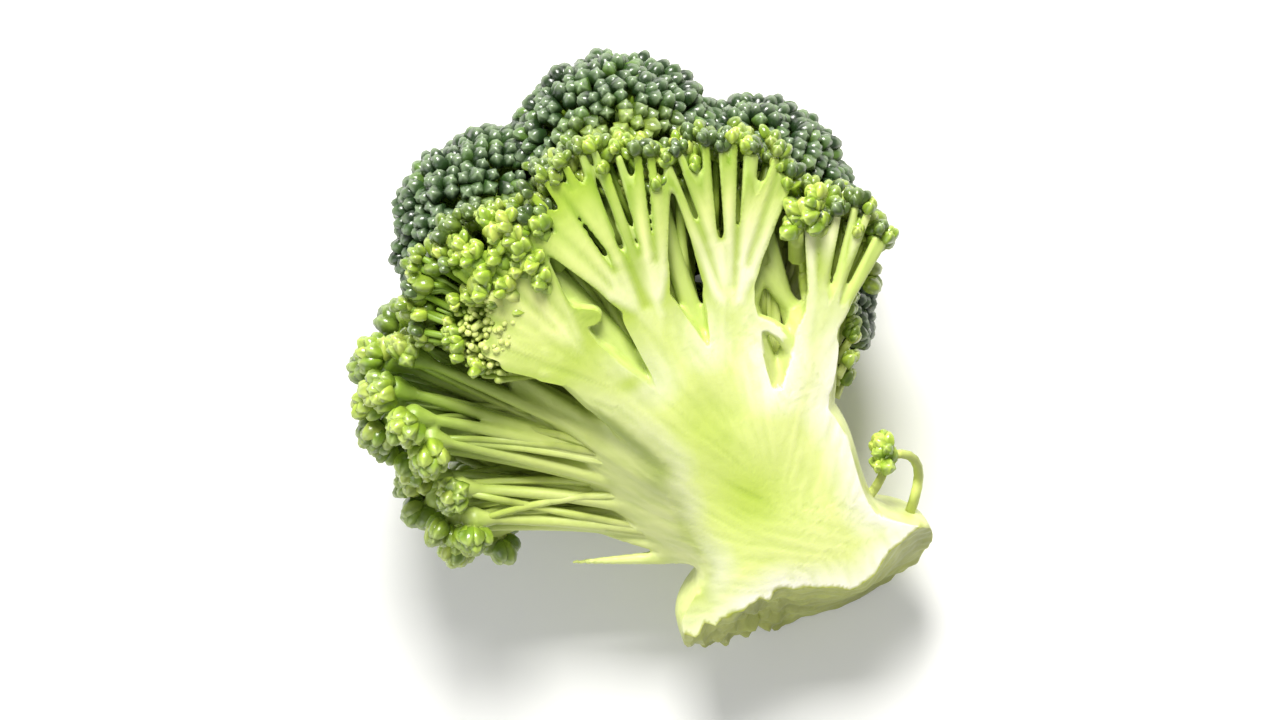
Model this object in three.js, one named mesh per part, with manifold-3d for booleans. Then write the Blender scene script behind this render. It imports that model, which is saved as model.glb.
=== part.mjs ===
// A cut broccoli floret, lying on its back: a short stalk that forks into branches, a fan of stalklets,
// and a lobed crown of buds. A knife has taken a slice off one side, which shows the fan from edge to edge.
// Units are millimetres. The floret is modelled in its own growing frame, and one group lays it down:
//   x runs across the cut face, y along the growth from the cut end to the crown, z out of the cut face.
import * as THREE from "three";
import { mergeVertices } from "three/addons/utils/BufferGeometryUtils.js";
import Module from "manifold-3d";

const wasm = await Module();
wasm.setup();

// How the floret comes to rest on its lowest lobes and the heel of its stalk: how far its growth is raised
// from the table, how it rolls, and how deep what touches the table is pressed flat.
const RAISED_DEG = 23.3;
const ROLL_DEG = 4.9;
const PRESSED_FLAT = 1;

// The knife's cuts: the long one is the plane z = 0, and the one across the stalk slants back behind it.
const END_SLANT_DEG = 38;

// The stalk, an oval turned from this outline of [radius, height], flared where it was cut from the head.
const STALK_OUTLINE = [
  [0, -13], [12.2, -13], [12.7, 0], [11, 1.8], [9.4, 5], [8.9, 11], [8, 16], [5, 20], [0, 21],
];
const STALK_CENTRE = { x: 0.3, z: -3 };
const STALK_FLATTENED = 0.85;
const STALK_SIDES = 14;

// Each head is a lobe of the crown on its own branch: the lobe's centre and its radius over the buds, the
// height at which the branch leaves the stalk, and the place where it divides into stalklets.
const SLICED_HEADS = [
  { centre: [-15.5, 36.3, -1], radius: 8.8, leaves: 9, divides: [-9.3, 25.5, -2.4] },
  { centre: [-4.5, 38.8, -1], radius: 9, leaves: 11, divides: [-3.6, 27, -2.4] },
  { centre: [4.8, 35.8, -1.5], radius: 8.6, leaves: 11, divides: [2.3, 26, -2.6] },
  { centre: [11.3, 28.3, -2], radius: 7.6, leaves: 8, divides: [8.2, 20.5, -3] },
];
const WHOLE_HEADS = [
  { centre: [-22.5, 27.5, -8], radius: 9.2, leaves: 5, divides: [-13, 17.5, -7] },
  { centre: [-22, 17.5, -9.5], radius: 9, leaves: 3, divides: [-12, 12, -8] },
  { centre: [8.3, 20.5, -11], radius: 8, leaves: 7, divides: [4.8, 15, -7.5] },
  { centre: [-13.5, 37.5, -12.5], radius: 10.2, leaves: 10, divides: [-8.5, 25, -8.5] },
  { centre: [-1.5, 40, -11.5], radius: 10.5, leaves: 12, divides: [-2, 26, -8.5] },
  { centre: [8.5, 32, -12], radius: 9.6, leaves: 10, divides: [4.5, 22, -8.5] },
  { centre: [-18.5, 26.5, -15.5], radius: 9.4, leaves: 6, divides: [-10.5, 18.5, -10.5] },
  { centre: [-6, 29.5, -17.5], radius: 10, leaves: 9, divides: [-4.5, 20.5, -11] },
  { centre: [4.5, 21.5, -16.5], radius: 9, leaves: 6, divides: [1.5, 16, -10.5] },
  { centre: [-10.5, 18.5, -17], radius: 9, leaves: 5, divides: [-6.5, 14, -10.5] },
];
const HEADS = [...SLICED_HEADS, ...WHOLE_HEADS];
const BRANCH_RADIUS = 4.3;
const BRANCH_TAPER = 0.36;
const BRANCH_RUNS_ON = 0.35;
const BRANCH_SAG = 0.12;
const BRANCH_SIDES = 8;
const STEM_STEPS = 2;

// Stalklets fan from where a branch divides to its lobe, and stop short of the lobe's wall.
const STALKLET_SPACING = 8.8;
const STALKLET_RADIUS = 1.25;
const STALKLET_TIP = 0.85;
const STALKLET_SIDES = 5;
const STALKLET_ROOTED = 1.5;
const STALKLET_BENDS_AT = 0.45;
const STALKLET_BEND = 0.16;
const STALKLET_SHORT = 1.3;

// The flat fan in each sliced head, which the knife halves along its length.
const FAN_COUNT = 5;
const FAN_SWEEP_DEG = 140;
const FAN_THICKNESS = 1.2;
const FAN_DEPTH = -0.5;
const FAN_LIFT = 0.3;

// The crown is a shell round the space where the stalklets run: an oval, with a dome under each lobe. The
// stalk stays this clearance inside that space.
const HOLLOW_CENTRE = new THREE.Vector3(-6.5, 18, -6);
const HOLLOW_SEMI_AXES = new THREE.Vector3(19, 22.5, 13);
const HOLLOW_DETAIL = 3;
const LOBE_WALL = 2.9;
const DOME_DETAIL = 1;
const CLEARANCE = 0.35;

// The buds cover every lobe, larger than life. Each is a blunt point, raised from the lobe between valleys.
const BUD_MESH_DETAIL = 3;
const BUD_RISE = 1.2;
const BUD_UNEVEN = 0.5;
const SEED = 11;

const STALK_COLOUR = 0xdcea9c;
const CROWN_COLOUR = 0x4f7a34;

const ALONG_GROWTH = new THREE.Vector3(0, 1, 0);
const GOLDEN_ANGLE = Math.PI * (3 - Math.sqrt(5));
const WELD = 1e-4;
const degrees = THREE.MathUtils.degToRad;
const point = (list) => new THREE.Vector3(...list);

// The same seed gives the same draws, each from 0 to 1.
function seeded(seed) {
  let state = seed;
  return () => {
    state = (state * 1664525 + 1013904223) % 4294967296;
    return state / 4294967296;
  };
}

// A geometry with only its places left, and the corners that share a place made one.
function welded(geometry) {
  geometry.deleteAttribute("normal");
  geometry.deleteAttribute("uv");
  return mergeVertices(geometry, WELD);
}

// A closed three.js geometry as a solid that can be joined and cut.
function solid(geometry) {
  const closed = welded(geometry);
  return new wasm.Manifold(
    new wasm.Mesh({
      numProp: 3,
      vertProperties: closed.attributes.position.array,
      triVerts: new Uint32Array(closed.index.array),
    }),
  );
}

const joined = (solids) => solids.reduce((all, one) => all.add(one));

// A tapered stem, bent along a curve from its root to its tip.
function stem(root, bend, tip, rootRadius, tipRadius, sides) {
  const curve = new THREE.QuadraticBezierCurve3(root, bend, tip);
  const geometry = new THREE.CylinderGeometry(tipRadius, rootRadius, 1, sides, STEM_STEPS);
  const places = geometry.attributes.position;
  const turn = new THREE.Quaternion();
  for (let i = 0; i < places.count; i++) {
    const along = THREE.MathUtils.clamp(places.getY(i) + 0.5, 0, 1);
    const across = new THREE.Vector3(places.getX(i), 0, places.getZ(i));
    turn.setFromUnitVectors(ALONG_GROWTH, curve.getTangent(along));
    across.applyQuaternion(turn).add(curve.getPoint(along));
    places.setXYZ(i, across.x, across.y, across.z);
  }
  return solid(geometry);
}

// An oval ball on a centre, scaled to three semi-axes.
function oval(centre, semiAxes, detail) {
  const geometry = new THREE.IcosahedronGeometry(1, detail);
  geometry.scale(semiAxes.x, semiAxes.y, semiAxes.z);
  geometry.translate(centre.x, centre.y, centre.z);
  return solid(geometry);
}

// Whether a point is inside the oval hollow.
const inHollow = (place) => place.clone().sub(HOLLOW_CENTRE).divide(HOLLOW_SEMI_AXES).length() < 1;

// The ways from a lobe's centre to its stalklets' tips: even, in a golden spiral, without those that point
// into a neighbour lobe, through the knife's cut or back down the hollow.
function waysOut(head) {
  const centre = point(head.centre);
  const count = Math.round((4 * Math.PI * head.radius ** 2) / (STALKLET_SPACING ** 2 * Math.sqrt(0.75)));
  const ways = [];
  for (let i = 0; i < count; i++) {
    const rise = 1 - (2 * (i + 0.5)) / count;
    const flat = Math.sqrt(1 - rise * rise);
    const turned = i * GOLDEN_ANGLE;
    const way = new THREE.Vector3(flat * Math.cos(turned), rise, flat * Math.sin(turned));
    const place = centre.clone().addScaledVector(way, head.radius - BUD_RISE);
    const buried = HEADS.some((o) => o !== head && place.distanceTo(point(o.centre)) < o.radius - BUD_RISE);
    if (!buried && !inHollow(place) && place.z < -STALKLET_RADIUS) ways.push(way);
  }
  return ways;
}

// The oval stalk, before the knife cuts.
function stalkTrunk() {
  const outline = STALK_OUTLINE.map(([radius, height]) => new THREE.Vector2(radius, height));
  const geometry = new THREE.LatheGeometry(outline, STALK_SIDES);
  geometry.scale(1, 1, STALK_FLATTENED);
  geometry.translate(STALK_CENTRE.x, 0, STALK_CENTRE.z);
  return solid(geometry);
}

// Where a head's branch leaves the middle of the stalk.
const leavesStalk = (head) => new THREE.Vector3(STALK_CENTRE.x, head.leaves, STALK_CENTRE.z);

// The branch that carries one head, from the stalk to a little past where it divides.
function branch(head) {
  const root = leavesStalk(head);
  const tip = point(head.divides).lerp(point(head.centre), BRANCH_RUNS_ON);
  const bend = root.clone().lerp(tip, 0.5);
  bend.y -= BRANCH_SAG * (tip.y - root.y);
  return stem(root, bend, tip, BRANCH_RADIUS, BRANCH_RADIUS * BRANCH_TAPER, BRANCH_SIDES);
}

// One stalklet, which leaves its branch along the branch and ends square on under the lobe's wall.
function stalklet(head, way, thickness) {
  const along = point(head.divides).sub(leavesStalk(head)).normalize();
  const root = point(head.divides).addScaledVector(along, -STALKLET_ROOTED);
  const tip = point(head.centre).addScaledVector(way, head.radius - LOBE_WALL - STALKLET_SHORT);
  tip.z = Math.min(tip.z, FAN_DEPTH);
  const bend = root.clone().lerp(tip, STALKLET_BENDS_AT);
  bend.addScaledVector(along, root.distanceTo(tip) * STALKLET_BEND);
  return stem(root, bend, tip, STALKLET_RADIUS * thickness, STALKLET_TIP * thickness, STALKLET_SIDES);
}

// The flat fan of stalklets that the knife lays bare in a sliced head.
function cutFan(head) {
  const heading = Math.atan2(head.centre[1] - head.divides[1], head.centre[0] - head.divides[0]);
  const fan = [];
  for (let i = 0; i < FAN_COUNT; i++) {
    const share = i / (FAN_COUNT - 1) - 0.5;
    const angle = heading + share * degrees(FAN_SWEEP_DEG);
    fan.push(stalklet(head, new THREE.Vector3(Math.cos(angle), Math.sin(angle), FAN_LIFT), FAN_THICKNESS));
  }
  return fan;
}

// A lobe covered with buds. Each corner of an even ball is pulled out to a bud's tip, and the middle of each
// face is the valley between three buds, so small faces slope down all round every tip.
function buddedLobe(head, draw) {
  const ball = welded(new THREE.IcosahedronGeometry(1, BUD_MESH_DETAIL));
  ball.rotateX(draw() * Math.PI);
  ball.rotateZ(draw() * Math.PI);
  const corners = ball.index.array;
  const tips = ball.attributes.position;
  const uneven = () => BUD_UNEVEN * (draw() - 0.5);

  const places = [];
  for (let i = 0; i < tips.count; i++) {
    const tip = new THREE.Vector3().fromBufferAttribute(tips, i).multiplyScalar(head.radius + uneven());
    places.push(tip.x + uneven(), tip.y + uneven(), tip.z + uneven());
  }
  const valleyLeftOf = new Map();
  for (let i = 0; i < corners.length; i += 3) {
    const valley = new THREE.Vector3();
    for (let k = 0; k < 3; k++) {
      valley.add(new THREE.Vector3().fromBufferAttribute(tips, corners[i + k]));
      valleyLeftOf.set(`${corners[i + k]} ${corners[i + ((k + 1) % 3)]}`, places.length / 3);
    }
    places.push(...valley.setLength(head.radius - BUD_RISE));
  }
  const faces = [];
  for (const [edge, leftValley] of valleyLeftOf) {
    const [from, to] = edge.split(" ");
    faces.push(Number(from), valleyLeftOf.get(`${to} ${from}`), leftValley);
  }

  const lobe = new THREE.BufferGeometry();
  lobe.setAttribute("position", new THREE.Float32BufferAttribute(places, 3));
  lobe.setIndex(faces);
  lobe.translate(...head.centre);
  return solid(lobe);
}

// How the floret lies, before it is moved onto the table.
const layDown = new THREE.Matrix4().makeRotationFromEuler(
  new THREE.Euler(degrees(RAISED_DEG), degrees(ROLL_DEG), 0, "YXZ"),
);

// A block much larger than the floret, on the side of a plane through the origin that the normal points to.
function blockBeyond(normal) {
  const size = 200;
  const geometry = new THREE.BoxGeometry(size, size, size);
  geometry.translate(0, size / 2, 0);
  return geometry.applyQuaternion(new THREE.Quaternion().setFromUnitVectors(ALONG_GROWTH, normal));
}

// The lowest and highest corners of a solid, laid down.
function boundsLaidDown(shape) {
  const corners = shape.getMesh().vertProperties;
  const box = new THREE.Box3();
  for (let i = 0; i < corners.length; i += 3)
    box.expandByPoint(new THREE.Vector3().fromArray(corners, i).applyMatrix4(layDown));
  return box;
}

// The largest body of a solid, without loose scraps.
function whole(shape) {
  const bodies = shape.decompose();
  return bodies.reduce((best, one) => (one.volume() > best.volume() ? one : best));
}

// The space inside the crown, made smaller all round by a clearance.
function hollow(clearance) {
  const middle = oval(HOLLOW_CENTRE, HOLLOW_SEMI_AXES.clone().subScalar(clearance), HOLLOW_DETAIL);
  const domes = HEADS.map((head) => {
    const radius = head.radius - LOBE_WALL - clearance;
    return oval(point(head.centre), new THREE.Vector3().setScalar(radius), DOME_DETAIL);
  });
  return joined([middle, ...domes]);
}

// The stalk with its branches and stalklets, before the cuts.
function stalkSolid() {
  const branches = HEADS.map(branch);
  const stalklets = HEADS.flatMap((head) => waysOut(head).map((way) => stalklet(head, way, 1)));
  const fans = SLICED_HEADS.flatMap(cutFan);
  const fingers = joined([...branches, ...stalklets, ...fans]).intersect(hollow(CLEARANCE));
  return stalkTrunk().add(fingers);
}

// The crown, before the cuts: lobes round the hollow, covered with buds.
function crownSolid() {
  const draw = seeded(SEED);
  const lobes = HEADS.map((head) => buddedLobe(head, draw));
  return joined(lobes).subtract(hollow(0));
}

const slant = degrees(END_SLANT_DEG);
const longCut = solid(blockBeyond(new THREE.Vector3(0, 0, 1)));
const endCut = solid(blockBeyond(new THREE.Vector3(0, -Math.cos(slant), Math.sin(slant))));
const cutStalk = stalkSolid().subtract(longCut).subtract(endCut);
const cutCrown = crownSolid().subtract(longCut);

// The table takes a little off the lowest buds and the heel of the stalk.
const lowest = boundsLaidDown(cutCrown).union(boundsLaidDown(cutStalk)).min.z;
const table = blockBeyond(new THREE.Vector3(0, 0, -1));
table.translate(0, 0, lowest + PRESSED_FLAT);
const pressed = solid(table.applyMatrix4(layDown.clone().invert()));
const stalk = whole(cutStalk.subtract(pressed));
const crown = whole(cutCrown.subtract(pressed));

// A solid as a named mesh in its own colour.
function mesh(name, shape, color, roughness) {
  const made = shape.getMesh();
  const geometry = new THREE.BufferGeometry();
  geometry.setAttribute("position", new THREE.BufferAttribute(made.vertProperties, 3));
  geometry.setIndex(new THREE.BufferAttribute(made.triVerts, 1));
  geometry.computeVertexNormals();
  const shown = new THREE.Mesh(geometry, new THREE.MeshStandardMaterial({ color, roughness, metalness: 0 }));
  shown.name = name;
  return shown;
}

// The floret lies with the middle of its box over the origin and its lowest face on the table.
const floret = new THREE.Group();
floret.add(mesh("stalk", stalk, STALK_COLOUR, 0.55), mesh("crown", crown, CROWN_COLOUR, 0.6));
floret.setRotationFromMatrix(layDown);
const box = boundsLaidDown(stalk).union(boundsLaidDown(crown));
const middle = box.getCenter(new THREE.Vector3());
floret.position.set(-middle.x, -middle.y, -box.min.z);

const root = new THREE.Group();
root.add(floret);

export default root;
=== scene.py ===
# %% [markdown]
# # A cut broccoli floret
# A floret is a small tree. A thick stalk forks into branches, each branch carries one lobe of the crown,
# and inside the lobe it divides again and again until every last twig holds one bud. A knife has taken a
# slice off one side here, so the whole tree can be seen from the stalk to the buds. The lesson grows that
# tree in the same order, and works in millimetres in the floret's own growing frame: x across the cut face,
# y along the growth and z out of the cut face. Each finished mesh is then laid down on the table.

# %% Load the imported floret
import math
import random

import bmesh
import bpy
import numpy as np
from mathutils import Matrix, Quaternion, Vector, noise
from mathutils.kdtree import KDTree


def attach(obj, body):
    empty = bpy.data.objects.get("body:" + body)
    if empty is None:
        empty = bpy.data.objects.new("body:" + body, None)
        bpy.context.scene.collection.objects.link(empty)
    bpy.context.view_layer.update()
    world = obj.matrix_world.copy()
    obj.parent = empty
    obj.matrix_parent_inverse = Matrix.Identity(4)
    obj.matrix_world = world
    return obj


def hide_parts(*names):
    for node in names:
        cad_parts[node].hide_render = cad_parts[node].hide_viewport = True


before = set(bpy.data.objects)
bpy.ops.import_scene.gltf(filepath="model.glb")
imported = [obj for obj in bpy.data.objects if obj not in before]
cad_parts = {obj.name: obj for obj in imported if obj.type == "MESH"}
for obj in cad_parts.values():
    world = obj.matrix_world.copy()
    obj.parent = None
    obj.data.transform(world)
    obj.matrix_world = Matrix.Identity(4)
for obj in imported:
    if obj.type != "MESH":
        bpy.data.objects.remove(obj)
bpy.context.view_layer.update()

# %% [markdown]
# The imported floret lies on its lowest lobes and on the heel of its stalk. These are the same turn and
# shift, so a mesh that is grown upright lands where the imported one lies.

# %% How the floret lies
RAISED, ROLL = math.radians(23.3), math.radians(4.9)
ORIGIN_ON_TABLE = Vector((5.9476, -23.9017, 15.6116))
MM = 0.001
lay_down = (
    Matrix.Scale(MM, 4)
    @ Matrix.Translation(ORIGIN_ON_TABLE)
    @ Matrix.Rotation(ROLL, 4, "Y")
    @ Matrix.Rotation(RAISED, 4, "X")
)
print("the stalk's end lies at", [round(c, 4) for c in lay_down.translation])

# %% [markdown]
# No two twigs are alike, so nearly every place and thickness strays a little. All strays are drawn from one
# source with a fixed seed, which grows the same floret on each run.

# %% The source of every stray
SEED = 11
chance = random.Random(SEED)


def stray(reach):
    return Vector([chance.uniform(-reach, reach) for _ in range(3)])


print("every stray is drawn from seed", SEED)

# %% [markdown]
# Every lobe, or head, is a ball on a branch: its centre and radius, the height at which its branch leaves
# the stalk, and the place where the branch divides. The knife has halved the first four. Two on the left
# hang loose: their twigs are long and thin, and their buds sit in small knobs.

# %% The heads
HEADS = [
    dict(centre=(-15.5, 36.3, -1), radius=8.8, leaves=9, divides=(-9.3, 25.5, -2.4), sliced=True),
    dict(centre=(-4.5, 38.8, -1), radius=9, leaves=11, divides=(-3.6, 27, -2.4), sliced=True),
    dict(centre=(4.8, 35.8, -1.5), radius=8.6, leaves=11, divides=(2.3, 26, -2.6), sliced=True),
    dict(centre=(11.3, 28.3, -2), radius=7.6, leaves=8, divides=(8.2, 20.5, -3), sliced=True),
    dict(centre=(-22.5, 27.5, -8), radius=9.2, leaves=5, divides=(-13, 17.5, -7), loose=True),
    dict(centre=(-22, 17.5, -9.5), radius=9, leaves=3, divides=(-12, 12, -8), loose=True),
    dict(centre=(8.3, 20.5, -11), radius=8, leaves=7, divides=(4.8, 15, -7.5)),
    dict(centre=(-13.5, 37.5, -12.5), radius=10.2, leaves=10, divides=(-8.5, 25, -8.5)),
    dict(centre=(-1.5, 40, -11.5), radius=10.5, leaves=12, divides=(-2, 26, -8.5)),
    dict(centre=(8.5, 32, -12), radius=9.6, leaves=10, divides=(4.5, 22, -8.5)),
    dict(centre=(-18.5, 26.5, -15.5), radius=9.4, leaves=6, divides=(-10.5, 18.5, -10.5)),
    dict(centre=(-6, 29.5, -17.5), radius=10, leaves=9, divides=(-4.5, 20.5, -11)),
    dict(centre=(4.5, 21.5, -16.5), radius=9, leaves=6, divides=(1.5, 16, -10.5)),
    dict(centre=(-10.5, 18.5, -17), radius=9, leaves=5, divides=(-6.5, 14, -10.5)),
]
STALK_X, STALK_Z = 0.3, -3
SLICED_FORK_RAISED = 1.3
for head in HEADS:
    head["centre"], head["divides"] = Vector(head["centre"]), Vector(head["divides"])
    head["root"] = Vector((STALK_X, head["leaves"], STALK_Z))
    head["along"] = (head["divides"] - head["root"]).normalized()
    head["sliced"], head["loose"] = head.get("sliced", False), head.get("loose", False)
    if head["sliced"]:
        head["divides"].z += SLICED_FORK_RAISED
print(len(HEADS), "heads, of which", sum(head["sliced"] for head in HEADS), "are sliced")

# %% [markdown]
# ## Stems
# A stem could be a curve with a bevel, but its thickness and its ends are easier to hold as a mesh. It
# follows a bent line, which leaves the root towards one place and arrives at the tip from there. Along the
# line stands a row of rings, each turned to face onwards and set to the stem's thickness.

# %% A bent line and the rings along it
def bent_line(root, bend, tip, steps):
    places = []
    for i in range(steps + 1):
        t = i / steps
        places.append(root * (1 - t) ** 2 + bend * (2 * t * (1 - t)) + tip * t**2)
    return places


def led_line(root, heading, tip, share, steps):
    """A bent line that is led along a heading for a share of its way to the tip."""
    return bent_line(root, root + heading * (tip - root).length * share, tip, steps)


def tapered(thick, thin, steps):
    return [thick + (thin - thick) * i / steps for i in range(steps + 1)]


def rings_along(places, radii):
    rings, turn = [], None
    for i, (place, radius) in enumerate(zip(places, radii)):
        ahead = (places[min(i + 1, len(places) - 1)] - places[max(i - 1, 0)]).normalized()
        if turn is None:
            turn = ahead.to_track_quat("Z", "Y")
        else:
            turn = (turn @ Vector((0, 0, 1))).rotation_difference(ahead) @ turn
        rings.append(Matrix.LocRotScale(place, turn, Vector((radius, radius, radius))))
    return rings


print("a stem of four steps has radii like", tapered(2, 1, 4))

# %% [markdown]
# The mesh of a stem starts as one disc, and the disc is extruded from ring to ring. A rounded end is two
# more rings past the tip, each smaller than the last. The small mesh of each stem is then added to a large
# one.

# %% A stem
ROUND_TIP = [(0.55, 0.8), (0.85, 0.4)]
carried = bpy.data.meshes.new("carried")


def add_to(whole, part):
    part.to_mesh(carried)
    part.free()
    whole.from_mesh(carried)


def add_stem(whole, places, thick, thin, sides, rounded=False):
    radii = tapered(thick, thin, len(places) - 1)
    if rounded:
        tip, past = places[-1], (places[-1] - places[-2]).normalized() * thin
        places = places + [tip + past * onward for onward, _ in ROUND_TIP]
        radii += [thin * share for _, share in ROUND_TIP]
    rings = rings_along(places, radii)
    stem = bmesh.new()
    bmesh.ops.create_circle(stem, cap_ends=True, segments=sides, radius=1, matrix=rings[0])
    disc = next(iter(stem.faces))
    for i in range(len(rings) - 1):
        grown = bmesh.ops.extrude_face_region(stem, geom=[disc], use_keep_orig=i == 0)["geom"]
        disc = next(part for part in grown if isinstance(part, bmesh.types.BMFace))
        onward = rings[i + 1] @ rings[i].inverted()
        bmesh.ops.transform(stem, matrix=onward, verts=list(disc.verts))
    bmesh.ops.recalc_face_normals(stem, faces=stem.faces[:])
    add_to(whole, stem)


print("a rounded end adds", len(ROUND_TIP), "rings")

# %% [markdown]
# All thick stems go into one mesh, the tree. The grain of the flesh follows every one of them. A list of
# points along all stems is kept for it, with the way that the stem runs at each point, so that any place on
# the finished flesh can find which way its grain runs.

# %% The tree, and the lines that its grain follows
GRAIN_STEP = 0.8
tree = bmesh.new()
grain_points, grain_ways = [], []


def keep_grain(places):
    for a, b in zip(places, places[1:]):
        pieces = max(1, round((b - a).length / GRAIN_STEP))
        for i in range(pieces):
            grain_points.append(a.lerp(b, i / pieces))
            grain_ways.append((b - a).normalized())


def add_to_tree(places, thick, thin, sides, rounded=True):
    add_stem(tree, places, thick, thin, sides, rounded)
    keep_grain(places)


print("the grain is noted every", GRAIN_STEP, "mm of a stem")

# %% [markdown]
# A thick stem isn't a smooth pipe. Strands run along it, one for each twig that it will divide into, and
# they show as ribs on its skin. So a thick stem gets a few thinner ones, laid along the rings of the first
# and wound round it a little.

# %% A stem with its strands
CORE_SHARE, STRAND_SIDES = 0.86, 8
STRAND_OUT, STRAND_SLIM = (0.6, 0.74), (0.34, 0.44)


def add_ribbed_stem(places, thick, thin, sides, strands):
    add_stem(tree, places, thick * CORE_SHARE, thin * CORE_SHARE, sides, rounded=True)
    steps = len(places) - 1
    rings = rings_along(places, tapered(thick, thin, steps))
    first, wind = chance.uniform(0, math.tau), chance.uniform(-0.5, 0.5)
    for k in range(strands):
        out, slim = chance.uniform(*STRAND_OUT), chance.uniform(*STRAND_SLIM)
        side = first + math.tau * k / strands + chance.uniform(-0.25, 0.25)
        strand = []
        for i, ring in enumerate(rings):
            angle = side + wind * i / steps
            strand.append(ring @ Vector((math.cos(angle) * out, math.sin(angle) * out, 0)))
        add_stem(tree, strand, thick * slim, thin * slim, STRAND_SIDES, rounded=True)
    keep_grain(places)


print("the strands lie", STRAND_OUT, "of the way from the middle of a thick stem to its skin")

# %% [markdown]
# ## The stalk
# The stalk is an oval post that flares at its cut end. Its outline is a chain of a few points, evened out,
# spun once round the growing axis and flattened a little.

# %% The stalk's post
STALK_OUTLINE = [
    (0, -13), (12.2, -13), (12.5, -0.6), (11.9, 0.9), (10.2, 2.0), (8.8, 3.2), (8.3, 5), (8.4, 8), (8.8, 12),
    (8, 16), (5.6, 19.4), (0, 21),
]
STALK_FLATTENED = 0.85


def even_out(bm, corners, rounds):
    """Moves corners towards the middle of their neighbours, again and again."""
    every_way = dict(use_axis_x=True, use_axis_y=True, use_axis_z=True)
    for _ in range(rounds):
        bmesh.ops.smooth_vert(bm, verts=corners, factor=0.5, **every_way)


post = bmesh.new()
chain = [post.verts.new((radius, height, 0)) for radius, height in STALK_OUTLINE]
links = [post.edges.new(pair) for pair in zip(chain, chain[1:])]
bmesh.ops.subdivide_edges(post, edges=links, cuts=4)
even_out(post, [v for v in post.verts if v.co.x > 0.1 and v.co.y > -12], rounds=6)
outline = post.verts[:] + post.edges[:]
bmesh.ops.spin(
    post, geom=outline, cent=(0, 0, 0), axis=(0, 1, 0), angle=math.tau, steps=48, use_merge=True
)
bmesh.ops.remove_doubles(post, verts=post.verts[:], dist=0.001)
bmesh.ops.scale(post, vec=(1, 1, STALK_FLATTENED), verts=post.verts[:])
bmesh.ops.translate(post, vec=(STALK_X, 0, STALK_Z), verts=post.verts[:])
bmesh.ops.recalc_face_normals(post, faces=post.faces[:])
print("the post has", len(post.faces), "faces")
add_to(tree, post)
keep_grain([Vector((STALK_X, y, STALK_Z)) for y in (-13, 0, 10, 18)])

# %% [markdown]
# Each branch leaves the middle of the stalk, sags a little, and runs on a little past the place where it
# divides. It is thick at its root, so that neighbours melt into each other near the stalk.

# %% The branches
BRANCH_ROOT, BRANCH_TIP, SLICED_TIP = 4.3, 1.3, 2.3
BRANCH_STEPS, PAST_FORK, SAG = 8, 0.35, 0.12
for head in HEADS:
    tip = head["divides"].lerp(head["centre"], PAST_FORK)
    bend = head["root"].lerp(tip, 0.5)
    bend.y -= SAG * (tip.y - head["root"].y)
    line = bent_line(head["root"], bend, tip, BRANCH_STEPS)
    add_ribbed_stem(line, BRANCH_ROOT, SLICED_TIP if head["sliced"] else BRANCH_TIP, sides=16, strands=9)
    head["branches"] = [line]
print("the tree has", len(tree.faces), "faces with its branches")

# %% [markdown]
# The two loose heads on the left share one broad branch, flat as a hand. More stems fill the space between
# their two branches, so that the twigs can leave it anywhere along its edge. They are humped, so that the
# branch leaves the stalk level with the cut.

# %% The broad branch on the left
upper, lower = HEADS[4], HEADS[5]
HUMP, LIFT, BROAD_STEM = 1.2, 0.3, (3.8, 1.1)
for share in (-0.8, -0.35, 0.25, 0.5, 0.75, 1.3):
    between = [a.lerp(b, share) for a, b in zip(upper["branches"][0], lower["branches"][0])]
    rises = [HUMP * math.sin(math.pi * i / BRANCH_STEPS) + LIFT for i in range(BRANCH_STEPS + 1)]
    line = [spot + Vector((0, 0, rise)) for spot, rise in zip(between, rises)]
    add_ribbed_stem(line, *BROAD_STEM, sides=14, strands=7)
    (upper if share < 0.5 else lower)["branches"].append(line)
in_crotch = bent_line(Vector((-3, 8, -2.2)), Vector((-7.8, 14.5, -1.8)), Vector((-11.2, 20.8, -4.2)), 6)
add_to_tree(in_crotch, 3.0, 1.6, sides=16)
print("the tree has", len(tree.faces), "faces with the broad branch")

# %% [markdown]
# Side branches lie close behind one another, so a gap between two sliced ones shows no more than a dark
# line. What nearly fills it is a branch of the head behind, whole, with its rounded back just below the
# cut. A short stub reaches into the widest gap, level with the cut.

# %% Branches behind the gaps
BEHIND_GAPS = [
    ((-5.6, 21, -3.0), (-8.2, 31, -1.9), (-11.2, 38.5, -2.9), 1.45, 1.05),
    ((-12.6, 34.7, -0.9), (-10.6, 33.4, -0.7), (-8.5, 32.2, -0.8), 0.9, 1.0),
    ((-0.2, 22, -3.0), (-0.7, 31, -1.9), (0.9, 39.5, -3.0), 1.1, 0.75),
    ((8.6, 21, -3.6), (8.0, 27, -2.2), (5.4, 32.5, -2.8), 0.9, 0.7),
    ((7.2, 20, -3.6), (8.1, 29, -2.2), (8.9, 37, -3.2), 0.8, 0.6),
]
for root, bend, tip, thick, thin in BEHIND_GAPS:
    add_to_tree(bent_line(Vector(root), Vector(bend), Vector(tip), 8), thick, thin, sides=14)
print(len(BEHIND_GAPS), "branches lie behind the gaps")

# %% [markdown]
# ## Where the buds grow
# The buds of a head lie even over its ball. A golden spiral spreads points evenly over a ball, and is used
# twice: for the mounds, which are the small domes of eight or so buds, and for the buds themselves. What is
# buried in a neighbour, cut off by the knife, or turned into the hollow where the stems run, is left out.

# %% Even points over a ball
GOLDEN_ANGLE = math.pi * (3 - math.sqrt(5))
HOLLOW_CENTRE, HOLLOW_SEMI_AXES = Vector((-6.5, 18, -6)), Vector((19, 22.5, 13))


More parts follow.
